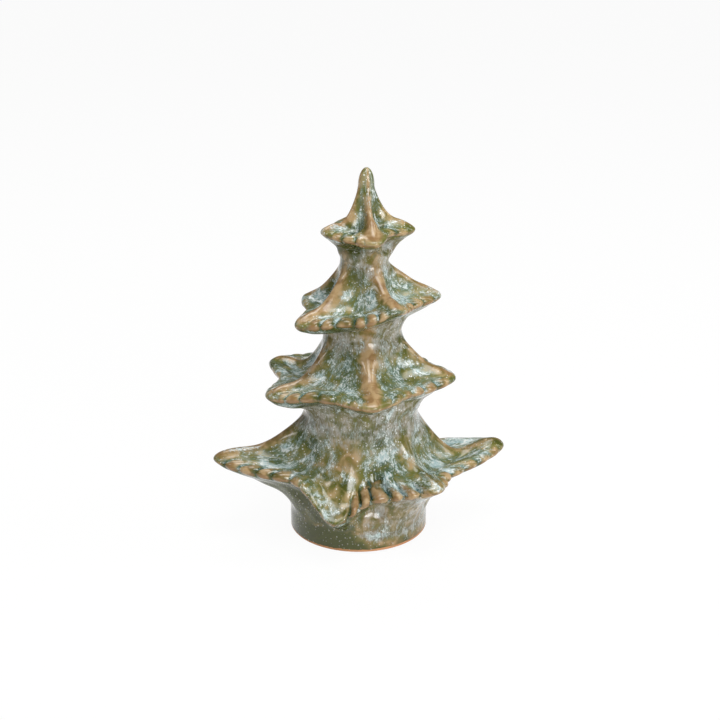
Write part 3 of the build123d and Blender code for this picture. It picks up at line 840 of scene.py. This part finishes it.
# The third tier
# A smaller cast section of five branches, the longest to the front left, stuck on with slip.
# Its pleats are pressed hardest between the front left and the front right branch.
third = {
    "seam": second["seam"] + second["height"], "low": second["top"],
    "top": 10.8, "height": 32.0, "rim": 3.0,
    "wall": [(6.0, 32.0), (14.0, 10.5), (12.7, 0.0)],
    "branches": [
        (-112, 29.7, 10.3, 0.42, 0.76, 0.4, 0.15, 0.8, 3.6),
        (-50, 38.0, 8.5, 0.50, 0.85, 0.25, 1.0, 1.1, 4.6),
        (28, 32.0, 16.5, 0.48, 0.83, 1.0, 0.8, 1.1, 4.4),
        (98, 35.3, 14.7, 0.36, 0.70, 0.8, 0.35, 0.7, 3.6),
        (172, 32.0, 11.5, 0.50, 0.85, 0.8, 0.8, 0.8, 3.6),
    ],
    "valleys": [
        (-80, 25.5, 9.3, 0.68, 0.95), (-12, 28.5, 10.5, 0.74, 0.97), (62, 25.0, 14.0, 0.68, 0.95),
        (135, 25.0, 12.5, 0.66, 0.94), (210, 25.0, 10.5, 0.66, 0.94),
    ],
    "undercut": (0.56, 0.58), "blunt": 0.18, "dent": 2.0,
    "pleat pitch": 6.3, "pleat depth": 2.0, "pleat climb": 7.5,
    "columns": 500, "run": seam_runs[1:3], "spire": 0.0, "seed": 8,
}
make_tier("third_tier", third, second)

# The crown
# The top section: five short branches under a blunt spire, cast in one and solid above the branches.
# The ridges of the branches run up the spire as tan bands.
crown = {
    "seam": third["seam"] + third["height"], "low": third["top"],
    "top": 3.6, "height": 33.5, "rim": 2.7,
    "wall": [(0.4, 19.0), (2.5, 19.0), (7.0, 10.0), (6.0, 0.0)],
    "branches": [
        (-68, 20.5, 13.8, 0.62, 0.93, 0.4, 0.9, 1.1, 3.4),
        (14, 20.0, 12.0, 0.48, 0.70, 0.7, 0.25, 1.2, 5.6),
        (92, 22.0, 14.2, 0.54, 0.84, 0.8, 0.4, 0.6, 3.2),
        (158, 18.0, 13.5, 0.58, 0.88, 0.8, 0.8, 0.9, 3.2),
        (225, 16.5, 13.5, 0.58, 0.88, 0.8, 0.8, 0.9, 3.2),
    ],
    "valleys": [
        (-27, 16.0, 12.0, 0.78, 0.97), (53, 13.6, 13.8, 0.78, 0.97), (125, 15.0, 13.5, 0.78, 0.97),
        (190, 14.0, 13.5, 0.78, 0.97), (258, 15.0, 13.5, 0.78, 0.97),
    ],
    "undercut": (0.42, 0.60), "blunt": 0.28, "dent": 1.6,
    "pleat pitch": 5.8, "pleat depth": 1.5, "pleat climb": 6.0,
    "columns": 400, "run": seam_runs[0:2], "spire": 8.0, "seed": 13,
}
make_tier("crown", crown, third)

# The table
# A plain white sweep of studio paper under and behind the tree. The camera sees it nearly white, with
# the tree's soft shadow on it.
table_half = 3.0
paper_white = "f4f4f2"
paper_glow = 0.95
# Matte paper, which shows itself white to the camera and in the glaze and keeps the tree's shadow.
paper = bpy.data.materials.new("white_studio_paper")
paper.use_nodes = True
tree = paper.node_tree
shader = tree.nodes["Principled BSDF"]
shader.inputs["Base Color"].default_value = linear(paper_white)
shader.inputs["Roughness"].default_value = 0.9
shader.inputs["Specular IOR Level"].default_value = 0.1
rays = add_node(tree, "ShaderNodeLightPath").outputs
seen = rays["Is Camera Ray"]
for ray in ("Is Glossy Ray", "Is Transmission Ray"):
    seen = add_node(tree, "ShaderNodeMath", {"operation": "MAXIMUM"}, {0: seen, 1: rays[ray]}).outputs[0]
share = add_node(tree, "ShaderNodeMath", {"operation": "MULTIPLY"}, {0: seen, 1: paper_glow}).outputs[0]
glow = add_node(tree, "ShaderNodeEmission", {}, {"Color": (1.0, 1.0, 1.0, 1.0), "Strength": 1.0}).outputs[0]
sweep = add_node(tree, "ShaderNodeMixShader", {}, {0: share, 1: shader.outputs[0], 2: glow}).outputs[0]
tree.links.new(sweep, tree.nodes["Material Output"].inputs["Surface"])
table_mesh = bpy.data.meshes.new("table")
table_mesh.from_pydata(
    [(x * table_half, y * table_half, 0) for x, y in ((-1, -1), (1, -1), (1, 1), (-1, 1))],
    [], [(0, 1, 2, 3)],
)
table_mesh.materials.append(paper)
table = bpy.data.objects.new("table", table_mesh)
bpy.context.scene.collection.objects.link(table)

# The light
# Soft boxes in a white studio: the strongest to the right of the camera and overhead, a tall one on the
# right, a small one on the left for the long glints, and one behind for the rims.
studio_level = 0.15
lamp_glow = 1.6
lamp_edge, lamp_core = 0.5, 0.15
tree_middle = Vector((0.0, 0.0, 0.085))
world = bpy.data.worlds.new("white_studio")
bpy.context.scene.world = world
world.use_nodes = True
tree = world.node_tree
sky = tree.nodes["Background"]
rays = add_node(tree, "ShaderNodeLightPath").outputs
sky_level = add_node(
    tree, "ShaderNodeMapRange", {}, {0: rays["Is Camera Ray"], 1: 0.0, 2: 1.0, 3: studio_level, 4: 1.0}
)
tree.links.new(sky_level.outputs[0], sky.inputs["Strength"])
sky.inputs["Color"].default_value = (1.0, 1.0, 1.0, 1.0)
for name, place, width, height, power in (
    ("front_box", (0.62, -1.06, 0.48), 0.72, 0.70, 11.8),
    ("top_box", (0.10, -0.26, 1.00), 0.95, 0.85, 10.2),
    ("back_box", (-0.15, 0.55, 0.90), 0.80, 0.55, 4.0),
    ("right_box", (0.80, 0.00, 0.62), 0.36, 1.30, 3.6),
    ("left_box", (-0.79, -0.42, 0.73), 0.24, 0.50, 1.4),
):
    lamp = bpy.data.lights.new(name, "AREA")
    lamp.shape = "RECTANGLE"
    lamp.size, lamp.size_y, lamp.energy = width, height, power
    lamp.use_nodes = True
    tree = lamp.node_tree
    across = add_node(tree, "ShaderNodeNewGeometry").outputs["Parametric"]
    sides = add_node(tree, "ShaderNodeSeparateXYZ", {}, {0: across}).outputs
    # A box is brightest in its middle and dark at its edges
    glow = lamp_glow
    for side in ("X", "Y"):
        middle = add_node(tree, "ShaderNodeMath", {"operation": "SUBTRACT"}, {0: sides[side], 1: 0.5})
        away = add_node(tree, "ShaderNodeMath", {"operation": "ABSOLUTE"}, {0: middle.outputs[0]})
        soft = add_node(
            tree, "ShaderNodeMapRange", {"interpolation_type": "SMOOTHSTEP"},
            {0: away.outputs[0], 1: lamp_edge, 2: lamp_core},
        ).outputs[0]
        glow = add_node(tree, "ShaderNodeMath", {"operation": "MULTIPLY"}, {0: soft, 1: glow}).outputs[0]
    tree.links.new(glow, tree.nodes["Emission"].inputs["Strength"])
    box = bpy.data.objects.new(name, lamp)
    bpy.context.scene.collection.objects.link(box)
    box.location = place
    box.rotation_euler = (tree_middle - Vector(place)).to_track_quat("-Z", "Y").to_euler()

# The camera
# A short telephoto in front of the tree, at about a forearm's length above the table, looking down on
# the tree's middle. The small shift puts that middle where it is in the photograph.
image_size = 720
camera_place = Vector((0.0, -0.620, 0.310))
focal_pixels = 1457
aim_pixel = (358.5, 354.0)
sensor_width = 36.0
lens = bpy.data.cameras.new("camera")
lens.sensor_width = sensor_width
lens.lens = focal_pixels / image_size * sensor_width
lens.shift_x = (image_size / 2 - aim_pixel[0]) / image_size
lens.shift_y = (aim_pixel[1] - image_size / 2) / image_size
camera = bpy.data.objects.new("camera", lens)
bpy.context.scene.collection.objects.link(camera)
camera.location = camera_place
camera.rotation_euler = (tree_middle - camera_place).to_track_quat("-Z", "Y").to_euler()
bpy.context.scene.camera = camera
bpy.context.scene.view_settings.view_transform = "Standard"
